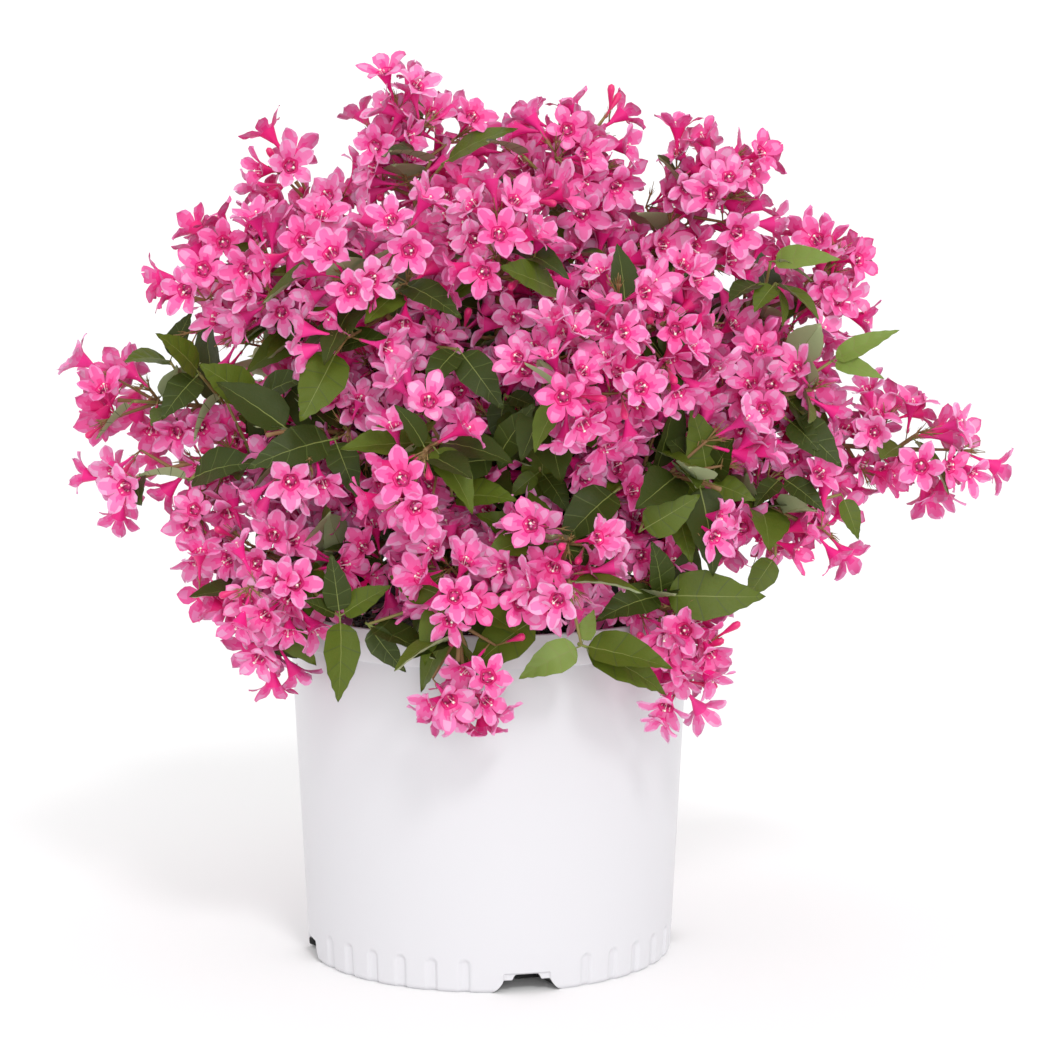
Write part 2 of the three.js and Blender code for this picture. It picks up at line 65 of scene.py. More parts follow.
# Each cane's tip, the slope that it ends with, how far its twigs reach, the share of its length where foliage
# begins, and its heads of blossom in the solids.
CANES = {
    "left_far": (-247, -12, 376, 0.05, 20, 0.5, 2),
    "left_low": (-230, -62, 330, -0.35, 18, 0.55, 2),
    "left_shoulder": (-172, -40, 462, 0.5, 36, 0.45, 3),
    "left_crest": (-130, 35, 518, 1.3, 20, 0.55, 3),
    "left_face": (-88, -132, 468, 0.5, 36, 0.5, 2),
    "top_left": (-62, 10, 560, 3, 28, 0.5, 3),
    "top_middle": (50, -12, 546, 4, 32, 0.5, 3),
    "top_face": (8, -112, 500, 1, 36, 0.5, 2),
    "top_right": (144, 10, 524, 1.4, 30, 0.5, 3),
    "right_upper": (222, 18, 452, 0.5, 26, 0.55, 2),
    "right_face": (112, -134, 440, 0.4, 36, 0.5, 3),
    "right_middle": (212, -50, 388, 0.25, 28, 0.55, 3),
    "right_far": (297, -12, 342, -0.05, 17, 0.6, 3),
    "right_low": (208, -62, 300, -0.5, 26, 0.55, 3),
    "right_cheek": (148, -140, 335, -0.2, 32, 0.5, 3),
    "front_middle": (50, -190, 402, 0.1, 36, 0.5, 3),
    "front_left": (-38, -186, 366, -0.1, 34, 0.5, 3),
    "left_cheek": (-140, -128, 368, -0.1, 30, 0.5, 3),
    "left_skirt": (-152, -104, 246, -2, 34, 0.5, 3),
    "front_skirt_left": (-18, -184, 232, -2.4, 34, 0.5, 3),
    "front_skirt_right": (52, -188, 282, -0.9, 30, 0.5, 3),
    "right_skirt": (126, -124, 226, -2.4, 18, 0.6, 3),
    "back_top": (10, 120, 500, 1, 40, 0.5, 2),
    "back_left": (-160, 128, 400, 0.2, 42, 0.5, 2),
    "back_right": (172, 124, 396, 0.2, 42, 0.5, 2),
    "back_middle": (10, 196, 380, 0.1, 40, 0.5, 2),
    "back_skirt_left": (-96, 172, 276, -1, 36, 0.5, 2),
    "back_skirt_right": (110, 168, 272, -1, 36, 0.5, 2),
}
GROUPS = ("left", "top", "right", "front", "back")

# Openings through the crown: across, height and radius where the line of sight meets y = 0.
EYE = np.array([26.0, -2568.0, 694.7])
OPENINGS = np.array((
    (-102, 548, 9), (-102, 531, 5), (-113, 535, 2), (-108, 575, 7), (-174, 541, 6), (-174, 515, 5),
    (-32, 592, 5), (-9, 589, 4), (6, 583, 5), (93, 591, 4), (107, 577, 7), (107, 556, 6), (105, 535, 5),
    (102, 515, 3), (133, 579, 6), (149, 574, 6), (163, 579, 6), (194, 562, 5), (206, 540, 5),
    (200, 521, 5), (210, 508, 6), (156, 448, 2), (207, 420, 3), (270, 482, 7), (271, 448, 9),
    (277, 415, 7), (291, 411, 7), (284, 401, 5), (308, 377, 6), (331, 373, 5), (358, 348, 7),
    (313, 288, 8), (276, 297, 6), (333, 305, 7), (280, 269, 8), (266, 251, 7), (-228, 428, 5),
    (-243, 418, 6), (-248, 348, 6), (-166, 403, 4), (-215, 373, 3), (-273, 425, 5), (285, 340, 3),
    (-229, 293, 7), (-235, 262, 10), (-223, 231, 12), (-193, 203, 10), (-178, 201, 5), (-188, 176, 8),
    (-159, 146, 7), (-110, 176, 6), (-59, 176, 12), (-84, 162, 11), (68, 170, 10), (92, 160, 10),
    (233, 231, 10), (202, 243, 11), (191, 205, 11), (-191, 527, 5), (-210, 509, 6), (-238, 492, 12),
    (-239, 447, 5), (-34, 146, 4), (-291, 310, 12), (-303, 415, 10), (-304, 358, 6), (136, 125, 5),
    (181, 201, 7), (176, 170, 7), (175, 132, 7), (109, 132, 4), (143, 262, 4), (209, 253, 5),
    (-128, 155, 5), (-43, 189, 3), (233, 509, 7), (267, 467, 7), (262, 491, 7), (-295, 383, 8),
), float)
# Hollows of the front where leaves show more than flowers, as the openings are given.
LEAFY = np.array((
    (-148, 374, 30), (-67, 354, 28), (11, 411, 26), (-13, 320, 16), (128, 333, 28), (-30, 262, 20),
), float)
# Heads that stand by themselves at the crown's edge: the middle of each.
EDGE_HEADS = np.array((
    (-197, -40, 444), (-198, -40, 464), (-183, -10, 484), (-165, 0, 484), (-181, -60, 315),
    (-169, -80, 296), (-189, -60, 286), (124, -125, 193), (-140, -100, 216), (75, 0, 558), (-12, 0, 556),
    (-62, 0, 579), (170, 0, 467), (325, -10, 342), (295, -30, 328), (230, -50, 291), (-251, -40, 320),
    (-261, -30, 362), (-2, -165, 204), (16, -172, 234), (-146, 20, 531), (-135, 20, 539), (232, 0, 444),
    (156, -10, 464), (-255, -20, 396), (47, -5, 568), (83, -5, 532), (122, -5, 539), (232, 5, 463),
    (271, -10, 370), (254, -30, 321), (171, 0, 491), (-13, -165, 199), (168, 0, 540), (-201, -40, 419),
    (231, 0, 464), (238, 0, 448), (231, -5, 435), (237, 0, 476), (-191, -50, 293),
))
# A leaf's green. A turned leaf shows its underside, and a slim one is young and narrow.
DEEP, FRESH, YOUNG, TURNED, SLIM = range(5)
# Leafy twigs that stand out: the node, then each leaf's tip and green.
LEAF_SPRAYS = (
    ((-210, -30, 404), (-200, -40, 432, DEEP), (-230, -60, 414, FRESH)),
    ((-190, -40, 397), (-204, -70, 424, FRESH), (-209, -70, 380, DEEP)),
    ((-150, -70, 383), (-180, -90, 406, FRESH), (-128, -100, 405, DEEP)),
    ((-174, -50, 385), (-197, -70, 366, TURNED)),
    ((-234, -35, 378), (-256, -50, 360, TURNED)),
    ((-194, -70, 331), (-222, -80, 343, TURNED), (-161, -100, 353, DEEP)),
    ((-98, -110, 363), (-141, -140, 359, DEEP), (-86, -140, 341, DEEP)),
    ((-95, -120, 422), (-114, -150, 386, FRESH), (-72, -140, 436, DEEP)),
    ((112, -120, 263), (168, -135, 266, FRESH), (79, -150, 263, DEEP), (109, -140, 295, DEEP)),
    ((60, -160, 238), (112, -170, 230, FRESH), (112, -160, 216, FRESH), (27, -175, 226, YOUNG),
     (65, -165, 256, YOUNG)),
    ((32, -165, 257), (-10, -180, 233, FRESH)),
    ((-94, -140, 253), (-90, -158, 210, FRESH), (-111, -150, 264, DEEP), (-97, -150, 287, DEEP),
     (-68, -150, 273, FRESH)),
    ((-76, -146, 249), (-36, -165, 236, DEEP), (-58, -162, 227, DEEP)),
    ((-29, -25, 534), (6, -40, 563, FRESH)),
    ((-38, -25, 535), (-59, -60, 550, DEEP)),
    ((23, -30, 539), (4, -60, 557, DEEP)),
    ((46, -120, 459), (15, -150, 477, FRESH)),
    ((-55, -120, 464), (-23, -150, 458, DEEP)),
    ((225, -40, 405), (259, -55, 427, SLIM), (250, -60, 402, SLIM)),
    ((186, -20, 469), (218, -45, 477, SLIM), (210, -30, 466, TURNED)),
    ((189, -25, 455), (215, -50, 447, TURNED), (197, -45, 436, TURNED), (176, -50, 445, FRESH)),
    ((179, -20, 455), (160, -50, 452, DEEP)),
    ((142, -95, 333), (122, -110, 365, DEEP), (137, -118, 374, FRESH), (154, -112, 360, DEEP),
     (165, -112, 329, FRESH)),
    ((121, -100, 317), (109, -118, 344, DEEP), (129, -130, 298, FRESH)),
    ((11, -118, 393), (7, -132, 368, DEEP), (29, -130, 388, DEEP)),
    ((34, -120, 344), (50, -135, 327, DEEP), (18, -130, 333, FRESH)),
    ((196, -50, 368), (212, -70, 357, DEEP), (225, -75, 351, DEEP)),
    ((192, -60, 331), (215, -80, 319, DEEP), (176, -80, 320, DEEP)),
    ((233, -40, 317), (243, -50, 295, FRESH)),
    ((188, -70, 281), (173, -85, 261, FRESH)),
    ((7, -150, 356), (-37, -170, 355, DEEP), (21, -170, 386, DEEP)),
    ((-22, -150, 332), (11, -175, 339, FRESH)),
    ((83, -140, 335), (49, -165, 313, DEEP)),
    ((97, -140, 308), (128, -150, 328, FRESH)),
    ((-18, -130, 423), (4, -160, 400, DEEP), (-35, -160, 412, DEEP)),
)
# Twigs of buds that stand out: the node, then each bud's tip.
BUD_SPRAYS = (
    ((133, -118, 226), (162, -128, 247), (152, -124, 235)),
    ((231, 0, 467), (254, -8, 472)),
    ((80, -4, 568), (81, -8, 585), (87, -2, 579)),
)

# Slots of the pieces, in the order of their meshes' material indices.
TINTS = "abc"
PETAL_ZONES = ("tube", "base", "mid", "pale")
TUBE, BASE, MID, PALE = range(4)
BLOSSOM_SLOTS = [f"petal_{zone}_{tint}" for tint in TINTS for zone in PETAL_ZONES]
BLOSSOM_SLOTS += ["anther", "stigma", "calyx", "bud", "throat"]
ANTHER, STIGMA, CALYX, BUD, THROAT = range(12, 17)
LEAF_SLOTS = ["leaf_deep", "leaf_mid", "leaf_young", "leaf_vein", "leaf_under", "leaf_side_vein"]
BLADE, VEIN, UNDER, SIDE_VEIN = 0, 3, 4, 5
TWIG_SLOTS = ["bark_young", "green_wood"]
BROWN_WOOD, GREEN_WOOD = 0, 1


# ---- vectors ----
UP = np.array([0, 0, 1.0])


def unit(v):
    v = np.asarray(v, float)
    return v / np.linalg.norm(v)


def turned(v, axis, angle):
    c, s = cos(angle), sin(angle)
    return v * c + np.cross(axis, v) * s + axis * np.dot(axis, v) * (1 - c)


def basis(direction, spin=0.0):
    """A turn whose third column is the direction."""
    z = unit(direction)
    x = unit(np.cross(UP if abs(z[2]) < 0.95 else [1, 0, 0], z))
    y = np.cross(z, x)
    c, s = cos(spin), sin(spin)
    return np.column_stack([c * x + s * y, c * y - s * x, z])


def spoke(angle):
    """Unit vectors out from the axis at an angle, and along the circle there."""
    c, s = cos(angle), sin(angle)
    return np.array([c, s, 0]), np.array([-s, c, 0])


def turns(count):
    return np.arange(count) * 2 * pi / count


def chance(a, b):
    wave = sin(a * 12.9898 + b * 78.233) * 43758.5453
    return wave - floor(wave)


def mix(a, b, t):
    return a + (b - a) * t


class Line:
    """A curve kept as close points, read by the share of its length."""

    def __init__(self, points):
        self.points = np.asarray(points, float)
        steps = np.linalg.norm(np.diff(self.points, axis=0), axis=1)
        self.shares = np.concatenate([[0], np.cumsum(steps)]) / steps.sum()

    def at(self, share):
        return np.stack([np.interp(share, self.shares, column) for column in self.points.T], -1)

    def tangent(self, share):
        return unit(self.at(min(share + 0.01, 1)) - self.at(max(share - 0.01, 0)))

    def part(self, start, end):
        return Line(self.at(np.linspace(start, end, 60)))


def bezier(*corners):
    t = np.linspace(0, 1, 200)[:, None]
    rows = [np.asarray(c, float)[None] * np.ones_like(t) for c in corners]
    while len(rows) > 1:
        rows = [mix(a, b, t) for a, b in zip(rows, rows[1:])]
    return Line(rows[0])


# ---- meshes ----
class Piece:
    """Triangles gathered for one object, with a material index for each."""

    def __init__(self, name="", slots=()):
        self.name, self.slots = name, slots
        self.verts, self.tris, self.mats, self.count = [], [], [], 0

    def add(self, verts, tris, mats):
        self.verts.append(verts)
        self.tris.append(np.asarray(tris) + self.count)
        self.mats.append(np.broadcast_to(mats, len(tris)))
        self.count += len(verts)

    def template(self):
        """All that was added."""
        return np.concatenate(self.verts), np.concatenate(self.tris), np.concatenate(self.mats)

    def make(self, replaced, record_slot, sharp=None):
        verts, tris, mats = self.template()
        mesh = bpy.data.meshes.new(self.name)
        mesh.from_pydata((verts * 0.001).tolist(), [], tris.tolist())
        mesh.polygons.foreach_set("material_index", mats.astype(np.int32))
        mesh.shade_smooth()
        mesh.validate()
        if sharp:
            mesh.set_sharp_from_angle(angle=radians(sharp))
        for slot in self.slots:
            mesh.materials.append(MATERIALS[slot])
        made = bpy.data.objects.new(self.name, mesh)
        bpy.context.scene.collection.objects.link(made)
        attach(made, "root")
        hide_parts(*replaced)


def grid_tris(rows, columns, closed):
    """Triangles between rows of a grid. A closed one joins its last column to its first."""
    strips = columns if closed else columns - 1
    row, j = np.divmod(np.arange((rows - 1) * strips), strips)
    a, b = row * columns + j, row * columns + (j + 1) % columns
    return np.stack([a, b, b + columns, a, b + columns, a + columns], 1).reshape(-1, 3)


def tube(points, radii, sides, relief=None):
    """A closed tube. relief(angle, share) is added to the radius as a share of it."""
    points = np.asarray(points, float)
    count = len(points)
    tangents = np.gradient(points, axis=0)
    tangents /= np.linalg.norm(tangents, axis=1)[:, None]
    across = unit(np.cross(tangents[0], [0.3, 0.9, 0.1]))
    angle = turns(sides)
    verts = np.empty((count, sides, 3))
    for i, tangent in enumerate(tangents):
        across = unit(across - tangent * np.dot(across, tangent))
        other = np.cross(tangent, across)
        swell = 1 + relief(angle, i / (count - 1)) if relief else np.ones(sides)
        spokes = np.outer(np.cos(angle), across) + np.outer(np.sin(angle), other)
        verts[i] = points[i] + (radii[i] * swell)[:, None] * spokes
    verts = np.concatenate([verts.reshape(-1, 3), points[:1], points[-1:]])
    tris = grid_tris(count, sides, True)
    foot, tip = count * sides, count * sides + 1
    last = foot - sides
    ends = [(foot, (j + 1) % sides, j) for j in range(sides)]
    ends += [(tip, last + j, last + (j + 1) % sides) for j in range(sides)]
    return verts, np.concatenate([tris, ends])


# ---- materials ----
MATERIALS = {}
ROUGH_SPREAD = 0.12  # how far the roughness strays to either side
RELIEF_HEIGHT = 0.0006  # of the bump, in metres


def linear(rgb):
    return tuple(((c / 255 + 0.055) / 1.055) ** 2.4 if c > 10 else c / 255 / 12.92 for c in rgb) + (1.0,)


def material(name, rgb, rough, bump, scale, stretch=(1, 1, 1), spec=0.4, sheen=0.0):
    """A plain base colour, with noise in its roughness and relief."""
    made = bpy.data.materials.new(name)
    made.use_nodes = True
    tree = made.node_tree
    shader = tree.nodes["Principled BSDF"]
    kinds = ("TexCoord", "Mapping", "TexNoise", "MapRange", "Bump")
    where, drawn, grain, spread, relief = (tree.nodes.new("ShaderNode" + kind) for kind in kinds)
    for node, values in (
        (shader, {"Base Color": linear(rgb), "Specular IOR Level": spec, "Sheen Weight": sheen}),
        (drawn, {"Scale": stretch}),
        (grain, {"Scale": scale, "Detail": 4}),
        (spread, {"To Min": max(rough - ROUGH_SPREAD, 0.02), "To Max": min(rough + ROUGH_SPREAD, 1)}),
        (relief, {"Strength": bump, "Distance": RELIEF_HEIGHT}),
    ):
        for socket, value in values.items():
            node.inputs[socket].default_value = value
    for source, output, node, socket in (
        (where, "Object", drawn, "Vector"),
        (drawn, "Vector", grain, "Vector"),
        (grain, "Fac", spread, "Value"),
        (spread, "Result", shader, "Roughness"),
        (grain, "Fac", relief, "Height"),
        (relief, "Normal", shader, "Normal"),
    ):
        tree.links.new(source.outputs[output], node.inputs[socket])
    MATERIALS[name] = made


# Each tint's colours, in the order of the petal zones.
PETAL_COLOURS = {
    "a": ((226, 26, 120), (226, 54, 136), (225, 90, 155), (221, 132, 181)),
    "b": ((229, 42, 130), (229, 72, 147), (227, 108, 167), (222, 150, 191)),
    "c": ((220, 18, 106), (220, 42, 122), (223, 74, 143), (221, 112, 169)),
}
for tint, colours in PETAL_COLOURS.items():
    for zone, rgb in zip(PETAL_ZONES, colours):
        material(f"petal_{zone}_{tint}", rgb, 0.55, 0.25, 420, spec=0.22)
material("throat", (234, 56, 136), 0.6, 0.2, 420, spec=0.2)
material("anther", (248, 196, 210), 0.7, 0.3, 900)
material("stigma", (250, 246, 226), 0.45, 0.2, 900)
material("calyx", (134, 104, 58), 0.6, 0.3, 700)
material("bud", (214, 18, 98), 0.42, 0.2, 420, sheen=0.1)
material("leaf_deep", (44, 54, 14), 0.5, 0.35, 520, spec=0.13)
material("leaf_mid", (72, 86, 20), 0.5, 0.35, 520, spec=0.14)
material("leaf_young", (104, 126, 47), 0.5, 0.35, 520, spec=0.25)
material("leaf_vein", (110, 120, 56), 0.5, 0.2, 520, spec=0.2)
material("leaf_side_vein", (62, 74, 24), 0.5, 0.2, 520, spec=0.2)
material("leaf_under", (146, 158, 112), 0.7, 0.3, 520, spec=0.2)
material("bark_old", (104, 78, 58), 0.85, 0.9, 160, stretch=(1, 1, 0.3))
material("bark_young", (122, 88, 52), 0.7, 0.6, 260, stretch=(1, 1, 0.4))
material("green_wood", (126, 116, 58), 0.6, 0.4, 400)
material("pot_plastic", (206, 205, 209), 0.34, 0.03, 900, spec=0.45)
# near black: the pot's liner, and on the walls deep in the notches painted shade too
material("pot_liner_and_painted_shade", (14, 14, 16), 0.5, 0.2, 60)
material("soil_brown", (58, 44, 36), 0.95, 1.0, 260)
material("soil_black", (26, 20, 18), 0.95, 1.0, 260)
material("soil_bark", (104, 74, 50), 0.85, 0.8, 200)
material("perlite", (226, 222, 214), 0.9, 0.8, 400)
material("floor", (246, 246, 246), 0.9, 0.02, 4, spec=0.1)

# ---- the canes ----
STEM_END = STEM_FOOT + STEM_HEIGHT
stem_line = bezier((0, 0, STEM_FOOT), (0, 0, STEM_FOOT + STEM_HEIGHT / 2), (STEM_LEAN, 0, STEM_END))


class Cane:
    """A bough, from the stem to where foliage begins, and the shoot beyond."""

    def __init__(self, number, name, spec):
        *tip, rise, reach, enters, heads = spec
        self.number, self.name, self.reach = number, name, reach
        self.quota = round(heads * 3 + reach / 10)
        self.heads = []
        self.group = name.split("_")[0]
        tip = np.asarray(tip, float)
        height = mix(LOW_ROOT, HIGH_ROOT, (tip[2] - LOW_TIP) / (HIGH_TIP - LOW_TIP))
        root = stem_line.at(min(max(height, LOW_ROOT), HIGH_ROOT))
        flat = (tip - root) * (1, 1, 0)
        outwards = flat / np.linalg.norm(flat)
        leaving = unit(outwards + UP * (STEEPNESS + height))
        ending = unit(outwards + UP * rise)
        span = np.linalg.norm(tip - root)
        line = bezier(root, root + leaving * span * ROOT_PULL, tip - ending * span * TIP_PULL, tip)
        self.bough = line.part(0, enters)
        self.shoot = line.part(enters, 1)
        self.samples = self.shoot.at(np.linspace(0, 1, 7))

    def distance(self, point):
        return np.linalg.norm(self.samples - point, axis=1).min()

    def claim(self, point):
        """How far a point is past this cane's reach."""
        return self.distance(point) - self.reach


CANE_LIST = [Cane(i, name, spec) for i, (name, spec) in enumerate(CANES.items())]


def past_crown(point):
    """How far a point is past the reach of every cane."""
    return min(cane.claim(point) for cane in CANE_LIST)


def in_own_space(cane, point):
    own = cane.claim(point) - LEAN_OVER
    return all(other is cane or other.claim(point) >= own for other in CANE_LIST)


def outside_pot(point, margin):
    x, y, z = point
    radius = hypot(x, y)
    above = z > POT_HEIGHT + margin
    within = z > MIX_LEVEL + 12 and radius < RIM_RADIUS - LIP_WIDTH - margin
    return above or within or (radius > RIM_RADIUS + margin and z > margin)


# ---- one flower ----
PARTS_ROUND = 5  # lobes, stamens and sepals
TUBE_SIDES, MOUTH_SIDES = 10, 20
TUBE_RINGS = ((-0.5, 0.9), (8.0, 1.1), (13.5, 1.9), (18.5, 3.9))  # height and radius
MOUTH_HEIGHT, MOUTH_RADIUS = 23.5, 6.0
LOBE_LENGTH = 15
LOBE_ROWS = ((0.24, 4.8), (0.46, 6.1), (0.7, 5.7), (0.88, 3.6), (1.0, 0.5))  # share of the length, half width
LOBE_ACROSS = (-1, -0.5, 0, 0.5, 1)


def flower(seed):
    """A trumpet along +Z from its calyx at 0, its petals in the first tint's slots."""
    r = np.random.default_rng(seed)
    parts = Piece()
    bend = r.uniform(-1.6, 1.6, 2)
    opening = r.uniform(62, 104)

    def shift(z):
        return np.array([bend[0], bend[1], 0]) * (max(z, 0) / 26) ** 2

    mouth = add_bell(parts, shift)
    # the two pinks change places from flower to flower
    inner, outer = (PALE, MID) if seed % 3 == 0 else (MID, PALE)
    streaked = [(seed + step) % PARTS_ROUND for step in (0, 1, 3)]
    for i in range(PARTS_ROUND):
        points = lobe(r, i, mouth, opening)
        parts.add(points, grid_tris(len(LOBE_ROWS) + 1, 5, False), lobe_zones(i in streaked, inner, outer))
    add_style(parts, bend)
    add_stamens(parts, r, shift)
    stalk(parts, 8)
    return parts.template()


def add_bell(parts, shift):
    """The tube and its lining. Returns the points of the mouth."""

    def ring(z, radius, count):
        angle = turns(count)
        swell = radius * (1 + (0.06 * np.cos(5 * (angle - pi / 5)) if z > 14 else 0))
        return np.column_stack([swell * np.cos(angle), swell * np.sin(angle), np.full(count, z)]) + shift(z)

    rings = [ring(z, radius, TUBE_SIDES) for z, radius in TUBE_RINGS]
    mouth = ring(MOUTH_HEIGHT, MOUTH_RADIUS, MOUTH_SIDES)
    tris = [*grid_tris(len(TUBE_RINGS), TUBE_SIDES, True)]
    top = (len(TUBE_RINGS) - 1) * TUBE_SIDES
    first = len(TUBE_RINGS) * TUBE_SIDES
    for j in range(TUBE_SIDES):
        a, b = top + j, top + (j + 1) % TUBE_SIDES
        c, d, e = (first + (2 * j + i) % MOUTH_SIDES for i in range(3))
        tris += [(a, b, d), (a, d, c), (b, e, d)]
    parts.add(np.concatenate([*rings, mouth]), tris, TUBE)
    lining = [ring(22.9, 5.5, TUBE_SIDES), ring(20.2, 3.7, TUBE_SIDES), [shift(17) + (0, 0, 17)]]
    end = [(TUBE_SIDES + j, 2 * TUBE_SIDES, TUBE_SIDES + (j + 1) % TUBE_SIDES) for j in range(TUBE_SIDES)]
    parts.add(np.concatenate(lining), np.concatenate([grid_tris(2, TUBE_SIDES, True), end]), THROAT)
    return mouth


def lobe(r, i, mouth, opening):
    """Lobe i as rows of five points, from the mouth to its tip."""
    out, side = spoke((4 * i + 2) * pi / 10)
    length = LOBE_LENGTH * r.uniform(0.86, 1.14)
    start, end = r.uniform(20, 42), opening * r.uniform(0.72, 1.3)
    roll = r.uniform(-0.5, 0.5)
    cup = r.uniform(-2.2, 2.6)
    crease = r.uniform(0.0, 0.9)
    broad = r.uniform(0.84, 1.1)
    base = mouth[[(4 * i + k) % MOUTH_SIDES for k in range(len(LOBE_ACROSS))]]
    points = [*base]
    for share, width in LOBE_ROWS:
        for t in LOBE_ACROSS:
            reach = share - (0.02 if share == 1 else 0.05) * t * t
            # the pitch turns steadily, so the rise and the run are its integrals
            a, b = radians(start), radians(mix(start, end, reach))
            turn = max(b - a, 1e-3) / max(reach, 1e-3)
            run = (cos(a) - cos(b)) / turn * length
            climb = (sin(b) - sin(a)) / turn * length
            tilt = roll * reach
            wave = r.uniform(-0.8, 0.8) * abs(t)
            lift = cup * t * t * reach + wave - crease * (1 - abs(t)) * min(reach, 0.7)
            point = base[2] + out * (run - 1.1 * t * t * (1 - reach)) + UP * climb
            point = point + side * t * width * broad * cos(tilt)
            points.append(point + UP * (t * width * sin(tilt) + lift))
    return np.array(points)


def lobe_zones(streaked, inner, outer):
    """Slots from the throat outwards: a deep streak, then two close pinks."""
    zones = [MID] * 2 + [BASE] * 4 + [MID] * 2
    zones += [MID] * 2 + [BASE if streaked else MID] + [MID] * 5
    zones += ([outer] * 2 + [inner] * 4 + [outer] * 2) * 2
    return zones + [outer] * 8


def add_style(parts, bend):
    """The style and the knob of its stigma."""
    top = np.array([1.7, 0.4, 26.8])
    parts.add(*tube([(bend[0] * 0.4, bend[1] * 0.4, 14.0), top], (0.35, 0.4), 3), ANTHER)
    corners = np.array([(1, 0, 0), (-1, 0, 0), (0, 1, 0), (0, -1, 0), (0, 0, 1), (0, 0, -1)])
    faces = [(0, 2, 4), (2, 1, 4), (1, 3, 4), (3, 0, 4), (2, 0, 5), (1, 2, 5), (3, 1, 5), (0, 3, 5)]
    parts.add(corners * (1.25, 1.25, 0.9) + top, faces, STIGMA)


def add_stamens(parts, r, shift):
    """Flat filaments between the lobes, each with its anther."""
    for i in range(PARTS_ROUND):
        out, along = spoke((i + 0.5) * 2 * pi / 5 + r.uniform(-0.2, 0.2))
        foot, top = out * 1.7 + (0, 0, 13) + shift(13), out * 3.4 + (0, 0, r.uniform(20.5, 23.5)) + shift(24)
        parts.add(np.array([foot + along * 0.35, foot - along * 0.35, top]), [(0, 1, 2)], ANTHER)
        wide, rise = along * 0.75, (0, 0, 1.1)
        tip, back = top + out * 0.3 + (0, 0, 2.6), top + rise - out * 0.6
        corners = np.array([top, top - wide + rise, top + wide + rise, tip, back])
        parts.add(corners, [(0, 1, 4), (0, 4, 2), (1, 3, 4), (4, 3, 2)], ANTHER)


def stalk(parts, length):
    """The thread-like ovary below a flower or bud, and its five narrow sepals."""
    parts.add(*tube([(0, 0, -length), (0, 0, -1.5), (0, 0, 0.5)], (0.5, 0.65, 1.05), 4), CALYX)
    for i in range(PARTS_ROUND):
        out, along = spoke(i * 2 * pi / 5 + 0.3)
        side = along * 0.45
        foot, tip = out * 0.95 + (0, 0, -0.6), out * 2.5 + (0, 0, 4.6)
        middle = out * 1.75 + (0, 0, 1.4)
        parts.add(np.array([foot - side, foot + side, tip, middle]), [(0, 1, 3), (1, 2, 3), (2, 0, 3)], CALYX)


# The share of a bud's length, or millimetres below the calyx, and its radius there.
BUD_OUTLINE = ((-0.5, 0.8), (0.3, 1.0), (0.55, 1.9), (0.8, 2.7), (0.94, 2.1), (1.0, 0.4))


def bud(length):
    """An unopened flower: a club on its stalk."""
    parts = Piece()
    points = [(0, 0, share * length if share > 0 else share) for share, _ in BUD_OUTLINE]
    parts.add(*tube(points, [radius for _, radius in BUD_OUTLINE], 7), BUD)
    stalk(parts, 7)
    return parts.template()


def spent():
    """A stalk that has dropped its flower: long sepals and the dried style."""
    parts = Piece()
    stalk(parts, 10)
    parts.add(*tube([(0, 0, 0), (0.4, 0.2, 4), (1.1, 0.3, 8)], (0.35, 0.3, 0.25), 3), CALYX)
    return parts.template()


# ---- one leaf ----
LEAF_ROWS = 10
VEIN_HALF = 0.006  # half the width of a side vein that is drawn
LEAF_THICKNESS = 0.036


